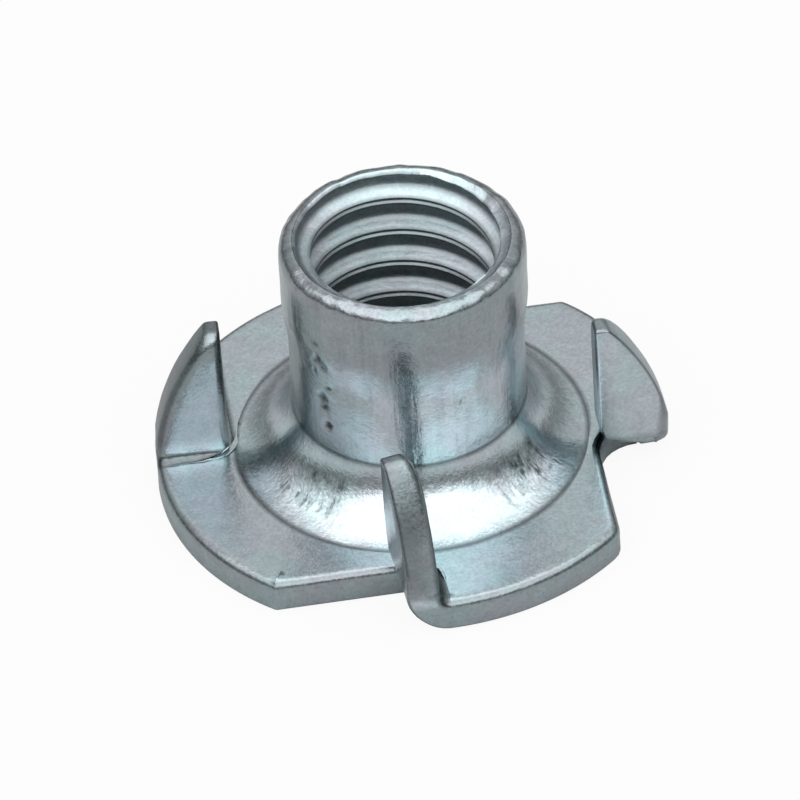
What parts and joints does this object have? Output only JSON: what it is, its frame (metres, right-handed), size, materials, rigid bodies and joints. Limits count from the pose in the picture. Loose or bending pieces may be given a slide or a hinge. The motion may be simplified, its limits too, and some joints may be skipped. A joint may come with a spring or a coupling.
{
  "type": "tee nut",
  "caption": "Tee nut pressed from sheet steel: a threaded barrel drawn up from a round flange, with prongs lanced from the flange and folded upright to grip wood.",
  "frame": {"origin": "centre of the flange's underside, on the axis of the thread", "axes": "+Z along the thread's axis, from the flange up to the barrel's rim; X and Y lie in the flange's underside, with -Y towards the viewer of the picture"},
  "size_m": [0.0164, 0.0164, 0.0094],
  "materials": {
    "zinc_plated_steel": "bright zinc plating, a little cloudy"
  },
  "bodies": {
    "root": {"tee_nut": "zinc_plated_steel"}
  },
  "joints": []
}
